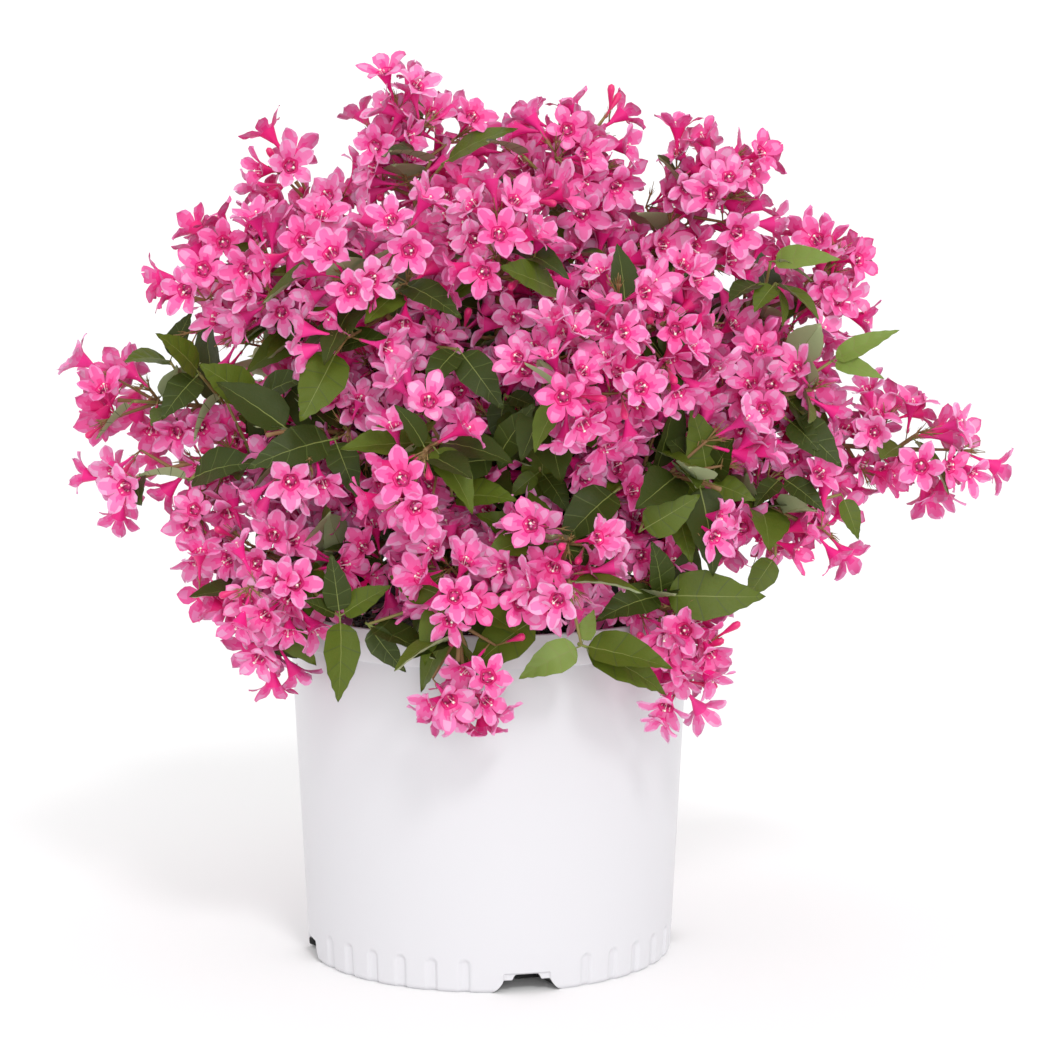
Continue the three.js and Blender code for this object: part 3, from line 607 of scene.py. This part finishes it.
def leaf(seed, veined):
    """An ovate toothed blade one unit long along +Y, its upper side towards +Z, pleated between sunken side
    veins and folded along a pale midrib. A veined one has its side veins drawn."""
    r = np.random.default_rng(seed)
    fold, arch, twist = r.uniform(0.1, 0.3), r.uniform(0.08, 0.36), r.uniform(-0.25, 0.25)
    half = r.uniform(0.25, 0.31)
    sweep = 0.4 if veined else 0.2
    stations = [(0.04, False)]
    for j in range(1, LEAF_ROWS):
        if veined and j % 2:
            stations += [(j / LEAF_ROWS - VEIN_HALF, True), (j / LEAF_ROWS + VEIN_HALF, True)]
        else:
            stations.append((j / LEAF_ROWS, bool(j % 2)))
    drawn = [k + 1 for k, (a, b) in enumerate(zip(stations, stations[1:])) if a[1] and b[1]]

    def place(x, y, lift):
        z = fold * abs(x) - arch * y * y + lift
        angle = twist * y
        return (x * cos(angle) - z * sin(angle), y, x * sin(angle) + z * cos(angle))

    def column(side, u, sink=0.0):
        """Points from foot to tip, at a share u of the way out to an edge."""
        points = [place(side * 0.007, 0, -sink)]
        for y, sunken in stations:
            ahead = y + sweep * (1 - y) * sin(pi / 2 * min(y * 1.4, 1)) ** 2 * u
            width = half * ahead**0.55 * (1 - ahead) ** 1.1 * 2.85
            pleat = (-0.012 if sunken else 0.018) * (1 if u == 0.5 else 0.3)
            tooth = (0.009 if sunken else -0.006) if u == 1 else 0
            rib = 0.008 * (1 - y)
            points.append(place(side * (rib + (width + tooth - rib) * u), ahead, pleat - sink))
        return [*points, place(0, 1, 0)]

    def skin(columns, rib, colour):
        """One side of the blade, whose midrib is one of its strips."""
        points = np.array(columns).transpose(1, 0, 2).reshape(-1, 3)
        tris = grid_tris(len(stations) + 2, len(columns), False)
        band, strip = np.divmod(np.arange(len(tris)), 2 * (len(columns) - 1))
        mats = np.where(strip // 2 == rib, VEIN, np.where(np.isin(band, drawn), SIDE_VEIN, colour))
        return points, tris, mats

    parts = Piece()
    top = [column(-1, 1), column(-1, 0.5), column(-1, 0), column(1, 0), column(1, 0.5), column(1, 1)]
    parts.add(*skin(top, 2, BLADE))
    under = [column(-1, 1), column(-1, 0, LEAF_THICKNESS), column(1, 0, LEAF_THICKNESS), column(1, 1)]
    points, tris, mats = skin(under, 1, UNDER)
    parts.add(points, tris[:, ::-1], mats)
    parts.add(*tube([(0, -0.12, 0.01), (0, 0.02, -0.005)], (0.018, 0.012), 4), VEIN)
    return parts.template()


BUD_LENGTHS = (13, 16, 19)
FLOWERS = [flower(seed) for seed in range(12)]
BUDS = [bud(length) for length in BUD_LENGTHS]
SPENT = spent()
LEAVES = [leaf(seed, False) for seed in range(40, 50)]
VEINED_LEAVES = [leaf(seed, True) for seed in range(50, 60)]


def put(piece, template, turn, place, size, tint=0):
    """Add a template to a piece, its petals in a tint's slots."""
    verts, tris, mats = template
    mats = np.where(mats < len(PETAL_ZONES), mats + len(PETAL_ZONES) * tint, mats)
    piece.add(verts * size @ turn.T + place, tris, mats)


# ---- trusses and leaves ----
FLOWER_LENGTH, BUD_REACH = 27, 24  # from a flower's foot to its mouth, and from a twig to a bud's tip
MOUTH_GAP, TRUSS_GAP = 12.4, 19  # between two mouths and between two trusses
CAP_HEIGHT = 1.32  # of the cap of a unit ball that a truss fills
GOLDEN_ANGLE = 2.399963
HEADS_TRIED = 60  # places for trusses looked at on each cane
SPENT_PER_TRUSS = 3
FEWEST_FLOWERS = 3  # worth a truss
SLIM_WIDTH = 0.66
YOUNG_FROM = 230  # how far young leaves stay from the crown's heart
SIGHT_GAP, SPRAY_GAP = 17, 16  # to leaves that stand out, across the line of sight and in space
SLOTS = {"blossom": BLOSSOM_SLOTS, "leaves": LEAF_SLOTS, "twigs": TWIG_SLOTS}
PIECES = {(kind, group): Piece(f"{kind}_{group}", SLOTS[kind]) for group in GROUPS for kind in SLOTS}
spent_rng = np.random.default_rng(77)
mouths, truss_ends, kept_leaves = [], [], []


def head_place(cane, k):
    """The k-th head round a shoot: its twig's foot and end, and its axis."""
    if k == 0:
        return cane.shoot.at(0.93), cane.shoot.at(1.0), cane.shoot.tangent(1.0)
    joint = floor(((0.35 + k * ALONG_STEP) % 1) * JOINTS) / JOINTS
    foot, tangent = cane.shoot.at(joint), cane.shoot.tangent(joint)
    outward = unit(foot - CROWN_HEART)
    end_on = np.dot(outward, tangent) ** 2
    widest = radians(mix(100, 180, end_on))
    around = (((k * ROUND_STEP + 0.2) % 1) * 2 - 1) * widest
    side = turned(unit(outward - tangent * np.dot(outward, tangent)), tangent, around)
    sweep = mix(0.3, 0.9, chance(k, 5))
    length = cane.reach * mix(0.8, 1.2, chance(cane.number, k))
    if k > 6:
        length *= mix(0.45, 0.95, chance(k, 9))
    return foot, foot + side * length + tangent * length * sweep, unit(side + 0.45 * tangent + 0.65 * outward)


def seen(point):
    """Where the line of sight through each point meets the plane y = 0."""
    share = EYE[1] / (EYE[1] - point[..., 1])
    return (EYE + (point - EYE) * share[..., None])[..., [0, 2]]


def in_any(places, spot, margin):
    return (np.linalg.norm(places[:, :2] - spot, axis=1) < places[:, 2] + margin).any()


def hides_spray(point):
    """Whether a flower's mouth stands before or against a leaf that stands out."""
    in_line = np.linalg.norm(KEPT_SPOTS - seen(point), axis=1) < SIGHT_GAP
    before = in_line & (point[1] < KEPT_LEAVES[:, 1] + 14)
    return before.any() or np.linalg.norm(KEPT_LEAVES - point, axis=1).min() < SPRAY_GAP


def nearest_wood(point):
    """The cane nearest to a point, and where a twig for it leaves that cane."""
    cane = min(CANE_LIST, key=lambda c: c.distance(point))
    places = cane.shoot.at(np.linspace(0, 0.95, 40))
    nearest = int(np.linalg.norm(places - point, axis=1).argmin())
    return cane, places[max(nearest - 6, 0)]


def far_from(points, point, least):
    return not points or np.linalg.norm(np.array(points) - point, axis=1).min() >= least


def truss(end, axis, wanted, reach, margin):
    """Flowers that radiate from a twig's end, each as its direction, foot, size and tint. They keep clear of
    openings by a margin, and go no further than reach past the canes' own."""
    made = []
    tint = int(rng.choice(len(TINTS), p=(0.45, 0.3, 0.25)))
    spin = rng.uniform(0, 2 * pi)
    tries = wanted + 3
    turn = basis(axis)
    for j in range(tries):
        # the first directions are near the middle of the cap
        polar = acos(1 - (j + 0.4) / tries * CAP_HEIGHT)
        around = spin + j * GOLDEN_ANGLE
        way = turn @ (spoke(around)[0] * sin(polar) + UP * cos(polar))
        way = unit(way + rng.normal(0, 0.2, 3) + (0, 0, -0.1))
        base = end - axis * (j % 3) * 4 + way * 7.5
        size = rng.uniform(0.8, 0.98)
        mouth = base + way * FLOWER_LENGTH * size
        if len(made) >= wanted or not far_from(mouths, mouth, MOUTH_GAP):
            continue
        if np.dot(way, unit(mouth - CROWN_HEART)) < -0.25 or hides_spray(mouth):
            continue
        spot = seen(mouth)
        if in_any(OPENINGS, spot, margin) or past_crown(mouth) > reach:
            continue
        if mouth[1] < 30 and in_any(LEAFY, spot, 0) and rng.random() < 0.7:
            continue
        if not outside_pot(mouth, 13) or not outside_pot(base, 3) or not outside_pot(base + way * 13, 5):
            continue
        made.append((way, base, size, tint))
        mouths.append(mouth)
    return made


def plant_truss(cane, foot, end, axis, made):
    blossom = PIECES["blossom", cane.group]
    for way, base, size, tint in made:
        own_tint = tint if rng.random() < 0.75 else int(rng.integers(len(TINTS)))
        turn = basis(way, rng.uniform(0, 2 * pi))
        if rng.random() < 0.07:
            put(blossom, BUDS[rng.integers(len(BUDS))], turn, base, 1.0)
        else:
            put(blossom, FLOWERS[rng.integers(len(FLOWERS))], turn, base, size, own_tint)
    for _ in range(SPENT_PER_TRUSS):
        way = unit(axis + spent_rng.normal(0, 0.45, 3))
        tip = end + way * 20
        if tip[2] > POT_HEIGHT + 5 and not in_any(OPENINGS, seen(tip), 8):
            turn = basis(way, spent_rng.uniform(0, 2 * pi))
            put(blossom, SPENT, turn, end + way * 9, spent_rng.uniform(0.9, 1.2))
    grow_twig(cane, foot, end, axis, 1.5, 0.8, BROWN_WOOD)
    truss_ends.append(end)


def grow_twig(cane, foot, end, axis, thick, thin, slot=GREEN_WOOD):
    """A twig that bends towards its end's axis."""
    span = np.linalg.norm(end - foot)
    if span < 4:
        return
    line = bezier(foot, foot + (end - foot) * 0.5 - axis * span * 0.12, end)
    verts, tris = tube(line.at(np.linspace(0, 1, 7)), np.linspace(thick, thin, 7), 6)
    PIECES["twigs", cane.group].add(verts, tris, slot)


def add_leaf(cane, root, way, size, tint):
    """A leaf whose upper side looks up and outwards. It is left out where it would run into a flower, the pot
    or an opening, or out of the crown."""
    way = unit(way)
    tip = root + way * size
    up = UP + 0.7 * unit(root - CROWN_HEART)
    up = up - way * np.dot(up, way)
    if np.linalg.norm(up) < 0.2:
        return
    up = turned(unit(up), way, rng.normal(0, 0.3))
    for share, clear in ((0.35, 10), (0.7, 12), (1.0, 13)):
        point = root + way * size * share - up * 0.22 * size * share**2
        blocked = in_any(OPENINGS, seen(point), 2) or not far_from(mouths, point, clear)
        if blocked or not outside_pot(point, 3):
            return
    if past_crown(tip) > 24 or (tip[2] > 470 and rng.random() < 0.5):
        return
    if tint == YOUNG and np.linalg.norm(root - CROWN_HEART) < YOUNG_FROM:
        tint = FRESH
    set_leaf(LEAVES, cane, root, way, up, size, tint)


def set_leaf(templates, cane, root, way, up, size, tint):
    leaves = PIECES["leaves", cane.group]
    across = np.cross(way, up) * (SLIM_WIDTH if tint == SLIM else 1)
    tint = {TURNED: FRESH, SLIM: YOUNG}.get(tint, tint)
    template = templates[rng.integers(len(templates))]
    put(leaves, template, np.column_stack([across, way, up]), root + way * 4, size)
    mats = np.where(leaves.mats[-1] == BLADE, tint, leaves.mats[-1])
    leaves.mats[-1] = np.where((mats == SIDE_VEIN) & (tint == YOUNG), VEIN, mats)


def grow_spray(node, leaves):
    """A twig to a node that shows, and its leaves."""
    node = np.array(node, float)
    cane, foot = nearest_wood(node)
    grow_twig(cane, foot, node, unit(node - foot), 1.3, 1.0)
    for *tip, tint in leaves:
        way = np.array(tip, float) - node
        size = np.linalg.norm(way)
        way = way / size
        facing = (0.1, 0.5, 0.85) if tint == TURNED else (0, -0.3, 0.95) if node[2] > 500 else (0, -0.8, 0.6)
        up = unit(facing - way * np.dot(facing, way))
        up = turned(up, way, rng.normal(0, 0.2))
        set_leaf(VEINED_LEAVES, cane, node, way, up, size * 1.04, tint)
        kept_leaves.extend(node + way * size * share for share in (0.3, 0.6, 0.9))


def grow_buds(node, tips):
    """A twig to a node, and its unopened flowers."""
    node = np.array(node, float)
    cane, foot = nearest_wood(node)
    grow_twig(cane, foot, node, unit(node - foot), 1.2, 0.7)
    for tip in np.array(tips, float):
        way = unit(tip - node)
        put(PIECES["blossom", cane.group], BUDS[-1], basis(way), tip - way * BUD_LENGTHS[-1], 1.0)
        grow_twig(cane, node, tip - way * BUD_REACH, way, 0.6, 0.5)


def grow_edge_head(middle):
    """A small truss that stands by itself."""
    cane, foot = nearest_wood(middle)
    axis = unit(middle - foot)
    end = middle - axis * 12
    made = truss(end, unit(axis + 0.4 * unit(middle - CROWN_HEART)), 4, 36, 8)
    if made:
        plant_truss(cane, foot, end, axis, made)


def grow_head(cane, k):
    """The truss at place k of a cane, where there is room."""
    foot, end, axis = head_place(cane, k)
    own = in_own_space(cane, end + axis * 12)
    if not own or not far_from(truss_ends, end, TRUSS_GAP) or not outside_pot(end, 8):
        return
    made = truss(end, axis, int(rng.integers(5, 9)), 20, 12)
    if len(made) < FEWEST_FLOWERS:
        del mouths[len(mouths) - len(made):]
        return
    cane.heads.append((foot, end, axis))
    plant_truss(cane, foot, end, axis, made)


def pair_ways(line, share, turn, lean):
    """The directions of two opposite leaves on a limb."""
    tangent = line.tangent(share)
    aside = unit(np.cross(UP, tangent))
    return [turned(aside, tangent, pi * i + turn) + lean * tangent for i in range(2)]


def grow_leaves(cane):
    """Pairs of leaves on the twigs of a cane's heads, its shoot and its bough."""
    spray = int(rng.choice(3, p=(0.52, 0.45, 0.03)))
    for foot, end, axis in cane.heads:
        way = unit(end - foot) if np.linalg.norm(end - foot) > 4 else axis
        turn = basis(way, rng.uniform(0, pi))
        for share in (0.2, 0.7):
            for i in range(2):
                side = turn @ spoke(i * pi + share * 3)[0]
                tint = spray if rng.random() < 0.7 else int(rng.choice(3, p=(0.5, 0.46, 0.04)))
                add_leaf(cane, mix(foot, end, share), side + 0.35 * way, rng.uniform(30, 47), tint)
    for pair in range(12):
        share = (pair % 6) / 6
        turn = pi / 2 * pair + radians(50) * (pair // 6)
        for way in pair_ways(cane.shoot, share, turn, 0.5):
            add_leaf(cane, cane.shoot.at(share), way, rng.uniform(42, 64), int(rng.choice(2)))
    for share in (0.4, 0.55, 0.7, 0.85, 0.97):
        for way in pair_ways(cane.bough, share, 9 * share, 0.4):
            add_leaf(cane, cane.bough.at(share), way, rng.uniform(40, 62), DEEP)


for node, *leaves in LEAF_SPRAYS:
    grow_spray(node, leaves)
KEPT_LEAVES = np.array(kept_leaves)
KEPT_SPOTS = seen(KEPT_LEAVES)
mouths += kept_leaves
for node, *tips in BUD_SPRAYS:
    grow_buds(node, tips)
for middle in EDGE_HEADS:
    grow_edge_head(middle)

for k in range(HEADS_TRIED):
    for cane in CANE_LIST:
        if len(cane.heads) < cane.quota:
            grow_head(cane, k)
for cane in CANE_LIST:
    grow_leaves(cane)


# ---- wood ----
def bark_relief(seed, depth):
    """Long ridges that wander round a limb, and faint rings across it."""
    r = np.random.default_rng(seed)
    lows, highs = (-4, 0, 0.4), (4, 6.28, 1)
    waves = [(int(r.integers(3, 11)), *r.uniform(lows, highs)) for _ in range(6)]

    def relief(angle, share):
        ridges = sum(size * np.sin(n * angle + drift * share * 6 + phase) for n, drift, phase, size in waves)
        rings = 0.5 * sin(share * 70 + waves[0][2]) * np.sin(2 * angle + share * 9)
        return depth * (ridges / 2 + rings)

    return relief


def make_trunk():
    """The short stem, with its root flare, sunk a little into the mix."""
    trunk = Piece("trunk", ["bark_old"])
    shares = np.linspace(0, 1, 60)
    radii = mix(STEM_WAIST, STEM_TOP, shares) + (STEM_FLARE - STEM_WAIST) * (1 - shares) ** 5
    points = stem_line.at(shares) - np.outer((1 - shares) ** 12, (0, 0, 4))
    trunk.add(*tube(points, radii, 48, bark_relief(3, 0.09)), 0)
    trunk.make(["main_stem"], "bark", sharp=50)


def make_boughs():
    """The boughs, with old bark near the stem, and the knotted shoots."""
    boughs = Piece("boughs", ["bark_old", "bark_young"])
    for cane in CANE_LIST:
        shares = np.linspace(0, 1, 30)
        relief = bark_relief(100 + cane.number, 0.07)
        verts, tris = tube(cane.bough.at(shares), mix(BOUGH_ROOT, BOUGH_TIP, shares), 14, relief)
        boughs.add(verts, tris, np.arange(len(tris)) >= len(tris) * 0.45)
        shares = np.linspace(0, 1, 24)
        knots = 1 + 0.25 * np.exp(-(((shares * JOINTS) % 1 - 0.02) ** 2) / 0.004)
        verts, tris = tube(cane.shoot.at(shares), mix(BOUGH_TIP, 1.3, shares) * knots, 8)
        PIECES["twigs", cane.group].add(verts, tris, BROWN_WOOD)
    boughs.make(["bough_" + name for name in CANES], "bark")


# ---- pot ----
FINE, COARSE = 720, 180  # points round the notched foot, and round the rest
NOTCH_REACH = 34  # how far a notch's hollow goes in; the wall at its back is black, the liner with painted shade
FOOT_HEIGHTS = [0, 0.5, 1.2, 2, 3, 4.2, 5.6, 7, 8.4, 8.5, 9.7, 11, 12.2, 12.3, *np.arange(13.4, 26, 1.2)]
STEP_TOP = 28.4
# Half a notch's width at its heights: rounded feet, a ledge on each side and a slot between the ledges.
NOTCH_HEIGHTS = (0, 1, 2.5, 5, 8.4, 8.5, 11, 12.2, 12.3)
NOTCH_HALVES = (24, 21.8, 19.8, 17.6, 15.4, 9.9, 8.6, 6.7, -9)
FACET_HALF, FACET_FOOT, FACET_TOP = 16, 7, 13.2  # the flat set into the wall above a notch
LIP_FOOT = POT_HEIGHT - LIP_HEIGHT
FLOOR_TOP = 13


def smooth(edge, x):
    t = np.clip(x / edge, 0, 1)
    return t * t * (3 - 2 * t)


def body_radius(z):
    return FOOT_RADIUS + (RIM_RADIUS - LIP_PROUD - FOOT_RADIUS) * z / POT_HEIGHT


def circle(count):
    return np.arange(count) * 360 / count


def ring(azimuth, radius, z):
    """Points at azimuths in degrees from the front."""
    angle = np.radians(azimuth)
    return np.column_stack([radius * np.sin(angle), -radius * np.cos(angle), np.full(len(angle), float(z))])


def arc_from(azimuth, centre):
    """Distance along the foot from a centre, given in degrees."""
    return ((azimuth - centre + 180) % 360 - 180) * radians(FOOT_RADIUS)


def flute_inset(x, z):
    """How deep a flute is at a distance from its middle. It is deeper on its right."""
    half = FLUTE_WIDTH / 2
    depth = half - np.hypot(x, max(z - (FLUTE_HEIGHT - half), 0))
    return 2.2 * smooth(2.2, depth) * (0.7 + 0.3 * np.clip(x / half, -1, 1))


def foot_ring(z):
    """One ring of the foot, and which of its points are inside a notch."""
    azimuth = circle(FINE)
    inset = np.zeros(FINE)
    inside = np.zeros(FINE, bool)
    step = radians(360 / FINE) * FOOT_RADIUS
    half = np.interp(z, NOTCH_HEIGHTS, NOTCH_HALVES)
    for n in range(NOTCHES):
        centre = FIRST_NOTCH + n * 360 / NOTCHES
        for k in range(FLUTES_PER_SIDE):
            turn = 45 + (k - (FLUTES_PER_SIDE - 1) / 2) * FLUTE_PITCH
            inset = np.maximum(inset, flute_inset(arc_from(azimuth - centre, turn), z))
        across = arc_from(azimuth, centre)
        facet = np.minimum(FACET_HALF - np.abs(across), min(z - FACET_FOOT, FACET_TOP - z))
        inset = np.maximum(inset, 1.6 * smooth(1.2, facet))
        edge = np.abs(np.abs(across) - half) < step / 2
        azimuth = np.where(edge, centre + np.sign(across) * degrees(half / FOOT_RADIUS), azimuth)
        inside |= (np.abs(across) < half) & ~edge
    inset = np.where(inside, NOTCH_REACH, inset)
    bevel = 2.4 * (1 - min(z / 3, 1)) ** 2
    return ring(azimuth, body_radius(z) - inset - np.where(inside, 0, bevel), z), inside


def add_foot(pot):
    """The notched foot, black inside its notches for the liner with painted shade in the hollow, and the
    underside.
    """
    rows, insides = zip(*[foot_ring(z) for z in FOOT_HEIGHTS])
    tris = grid_tris(len(rows), FINE, True).reshape(-1, FINE, 2, 3)
    # the diagonals lean with a notch's edge, so they are turned on its right-hand side
    a, b, c, d = tris[..., 0, 0], tris[..., 0, 1], tris[..., 0, 2], tris[..., 1, 2]
    turned_tris = np.stack([np.stack([a, b, d], -1), np.stack([b, c, d], -1)], -2)
    right_side = ((circle(FINE) - FIRST_NOTCH) % (360 / NOTCHES) < 15)[None, :, None, None]
    tris = np.where(right_side, turned_tris, tris).reshape(-1, 3)
    # faces inside a notch take the black slot: the liner, with painted shade for the dark hollow
    liner_and_painted_shade = np.concatenate(insides)[tris].any(axis=1)
    pot.add(np.concatenate(rows), tris, liner_and_painted_shade)
    inward = rows[0] * (0.97, 0.97, 1)
    under = np.concatenate([rows[0], inward, inward + (0, 0, 2), [[0, 0, 2]]])
    cap = [(2 * FINE + j, 3 * FINE, 2 * FINE + (j + 1) % FINE) for j in range(FINE)]
    pot.add(under, np.concatenate([grid_tris(3, FINE, True)[:, ::-1], cap]), 0)
    return rows[-1]


def add_step(pot, fine_ring):
    """A band in which four fine points meet each coarse one."""
    j = np.arange(COARSE)
    f = [(4 * j + i) % FINE for i in range(5)]
    a, b = FINE + j, FINE + (j + 1) % COARSE
    tris = np.stack([f[0], f[1], a, f[1], f[2], a, f[2], b, a, f[2], f[3], b, f[3], f[4], b], 1)
    verts = np.concatenate([fine_ring, ring(circle(COARSE), body_radius(STEP_TOP), STEP_TOP)])
    pot.add(verts, tris.reshape(-1, 3), 0)


def add_wall(pot):
    """The wall from above the foot, over the rim band and down to the floor."""
    neck = body_radius(LIP_FOOT) - 0.9
    outer = [(body_radius(z), z) for z in np.linspace(STEP_TOP, LIP_FOOT - 4, 8)]
    outer += [(neck, LIP_FOOT - 2), (neck, LIP_FOOT)]
    outer += [(RIM_RADIUS - inset, LIP_FOOT + rise) for inset, rise in ((0.9, 0.2), (0.2, 1.2), (0.2, 12))]
    rim = ((0, 1.2), (0.4, 0.3), (1.2, 0), (2.4, 0), (3.4, 0.5), (LIP_WIDTH, 2))
    rim = [(RIM_RADIUS - inset, POT_HEIGHT - drop) for inset, drop in rim]
    outer += rim[:4]
    inner = rim[3:] + [(body_radius(z) - WALL, z) for z in (LIP_FOOT, 200, 120, FLOOR_TOP)]
    inner.append((0.1, FLOOR_TOP))
    for profile, slot in ((outer, 0), (inner, 1)):
        rings = np.concatenate([ring(circle(COARSE), radius, z) for radius, z in profile])
        pot.add(rings, grid_tris(len(profile), COARSE, True), slot)


def make_pot():
    pot = Piece("pot_shell", ["pot_plastic", "pot_liner_and_painted_shade"])
    add_step(pot, add_foot(pot))
    add_wall(pot)
    pot.make(["pot"], "pot_plastic", sharp=40)


# ---- potting mix ----
SOIL_SIDES, SOIL_RINGS, CRUMBS = 110, 44, 900
SOIL_WALL = body_radius(MIX_LEVEL) - WALL - 0.4
GOLDEN = (1 + 5**0.5) / 2
# The corners and faces of an icosahedron about one unit in radius.
CRUMB = [np.roll((x, y, 0), turn) for turn in range(3) for y in (GOLDEN, -GOLDEN) for x in (-1, 1)]
CRUMB = np.array(CRUMB) / 1.9
CRUMB_TRIS = np.array((
    (0, 11, 5), (0, 5, 1), (0, 1, 7), (0, 7, 10), (0, 10, 11), (1, 5, 9), (5, 11, 4), (11, 10, 2), (10, 7, 6),
    (7, 1, 8), (3, 9, 4), (3, 4, 2), (3, 2, 6), (3, 6, 8), (3, 8, 9), (4, 9, 5), (2, 4, 11), (6, 2, 10),
    (8, 6, 7), (9, 8, 1),
))


def dome(radius):
    """How high the mix is heaped round the stem."""
    return MIX_DOME * (1 - smooth(SOIL_WALL * 0.9, radius - 10))


def add_ground(soil):
    """The lumpy surface of the mix, and the body below it."""
    verts = []
    for radius in SOIL_WALL * np.linspace(0.02, 1, SOIL_RINGS):
        x, y = radius * np.cos(turns(SOIL_SIDES)), radius * np.sin(turns(SOIL_SIDES))
        lump = 1.6 * np.sin(x * 0.21 + 1.3) * np.sin(y * 0.19 + 0.4) + 1.1 * np.sin(x * 0.47 + y * 0.33)
        lump = lump + 0.8 * np.sin(x * 1.13 - y * 0.91) + rng.normal(0, 0.55, SOIL_SIDES)
        verts.append(np.column_stack([x, y, MIX_LEVEL - 1 + dome(radius) + lump]))
    tris = grid_tris(SOIL_RINGS, SOIL_SIDES, True)
    soil.add(np.concatenate(verts), tris, rng.random(len(tris)) < 0.35)
    foot = FLOOR_TOP + 0.4
    ends = ((SOIL_WALL, MIX_LEVEL - 3), (body_radius(foot) - WALL - 0.6, foot))
    side = np.concatenate([ring(circle(SOIL_SIDES), radius, z) for radius, z in ends])
    soil.add(side, grid_tris(2, SOIL_SIDES, True)[:, ::-1], 1)


def add_crumb(soil):
    """A chip of bark, a lump of soil or a grain of perlite."""
    radius, turn = (SOIL_WALL - 6) * sqrt(rng.random()), rng.uniform(0, 2 * pi)
    kind = int(rng.choice(4, p=(0.38, 0.3, 0.26, 0.06)))
    perlite = kind == 3
    shape = (1.1, 1, 0.9) if perlite else (rng.uniform(1, 3), rng.uniform(0.8, 2), rng.uniform(0.5, 1.3))
    centre = spoke(turn)[0] * radius + UP * (MIX_LEVEL + dome(radius) + 0.6)
    corners = CRUMB * rng.uniform(0.8, 1.15, (12, 1)) * shape
    soil.add(corners @ basis(rng.normal(size=3)).T + centre, CRUMB_TRIS, kind)


def make_mix():
    soil = Piece("potting_mix_surface", ["soil_brown", "soil_black", "soil_bark", "perlite"])
    add_ground(soil)
    for _ in range(CRUMBS):
        add_crumb(soil)
    soil.make(["potting_mix"], "potting_mix", sharp=60)


make_trunk()
make_boughs()
make_pot()
make_mix()
for (kind, group), piece in PIECES.items():
    nodes = ["mass_" + cane.name for cane in CANE_LIST if cane.group == group]
    piece.make(nodes, "bark" if kind == "twigs" else "foliage")

# ---- floor, light and camera ----
FLOOR_SIDE = 80  # in metres
# Each sun's energy, then its spread and its turns about X and Z in degrees.
SUNS = (("key", 0.85, 11, 48, 16), ("front", 0.85, 30, 79, 9))
LENS = 3870 / 1056 * 36  # in millimetres, over a sensor 36 mm wide
TARGET, DISTANCE, ELEVATION = np.array([0.026, 0, 0.288]), 2.6, radians(9)

bpy.ops.mesh.primitive_plane_add(size=FLOOR_SIDE)
plane = bpy.context.object
plane.name = "floor"
plane.data.materials.append(MATERIALS["floor"])

for name, energy, spread, tilt, turn in SUNS:
    bpy.ops.object.light_add(type="SUN", rotation=(radians(tilt), 0, radians(turn)))
    sun = bpy.context.object
    sun.name, sun.data.energy, sun.data.angle = name, energy, radians(spread)

back = np.array([0, -cos(ELEVATION), sin(ELEVATION)])
bpy.ops.object.camera_add(location=TARGET + DISTANCE * back, rotation=(pi / 2 - ELEVATION, 0, 0))
camera = bpy.context.object
camera.data.lens = LENS

scene = bpy.context.scene
scene.camera = camera
scene.view_settings.view_transform = "Standard"
scene.view_settings.look = "None"
scene.view_settings.gamma = 1.15
scene.world = bpy.data.worlds.new("studio")
scene.world.use_nodes = True
scene.world.node_tree.nodes["Background"].inputs["Color"].default_value = (1, 1, 1, 1)
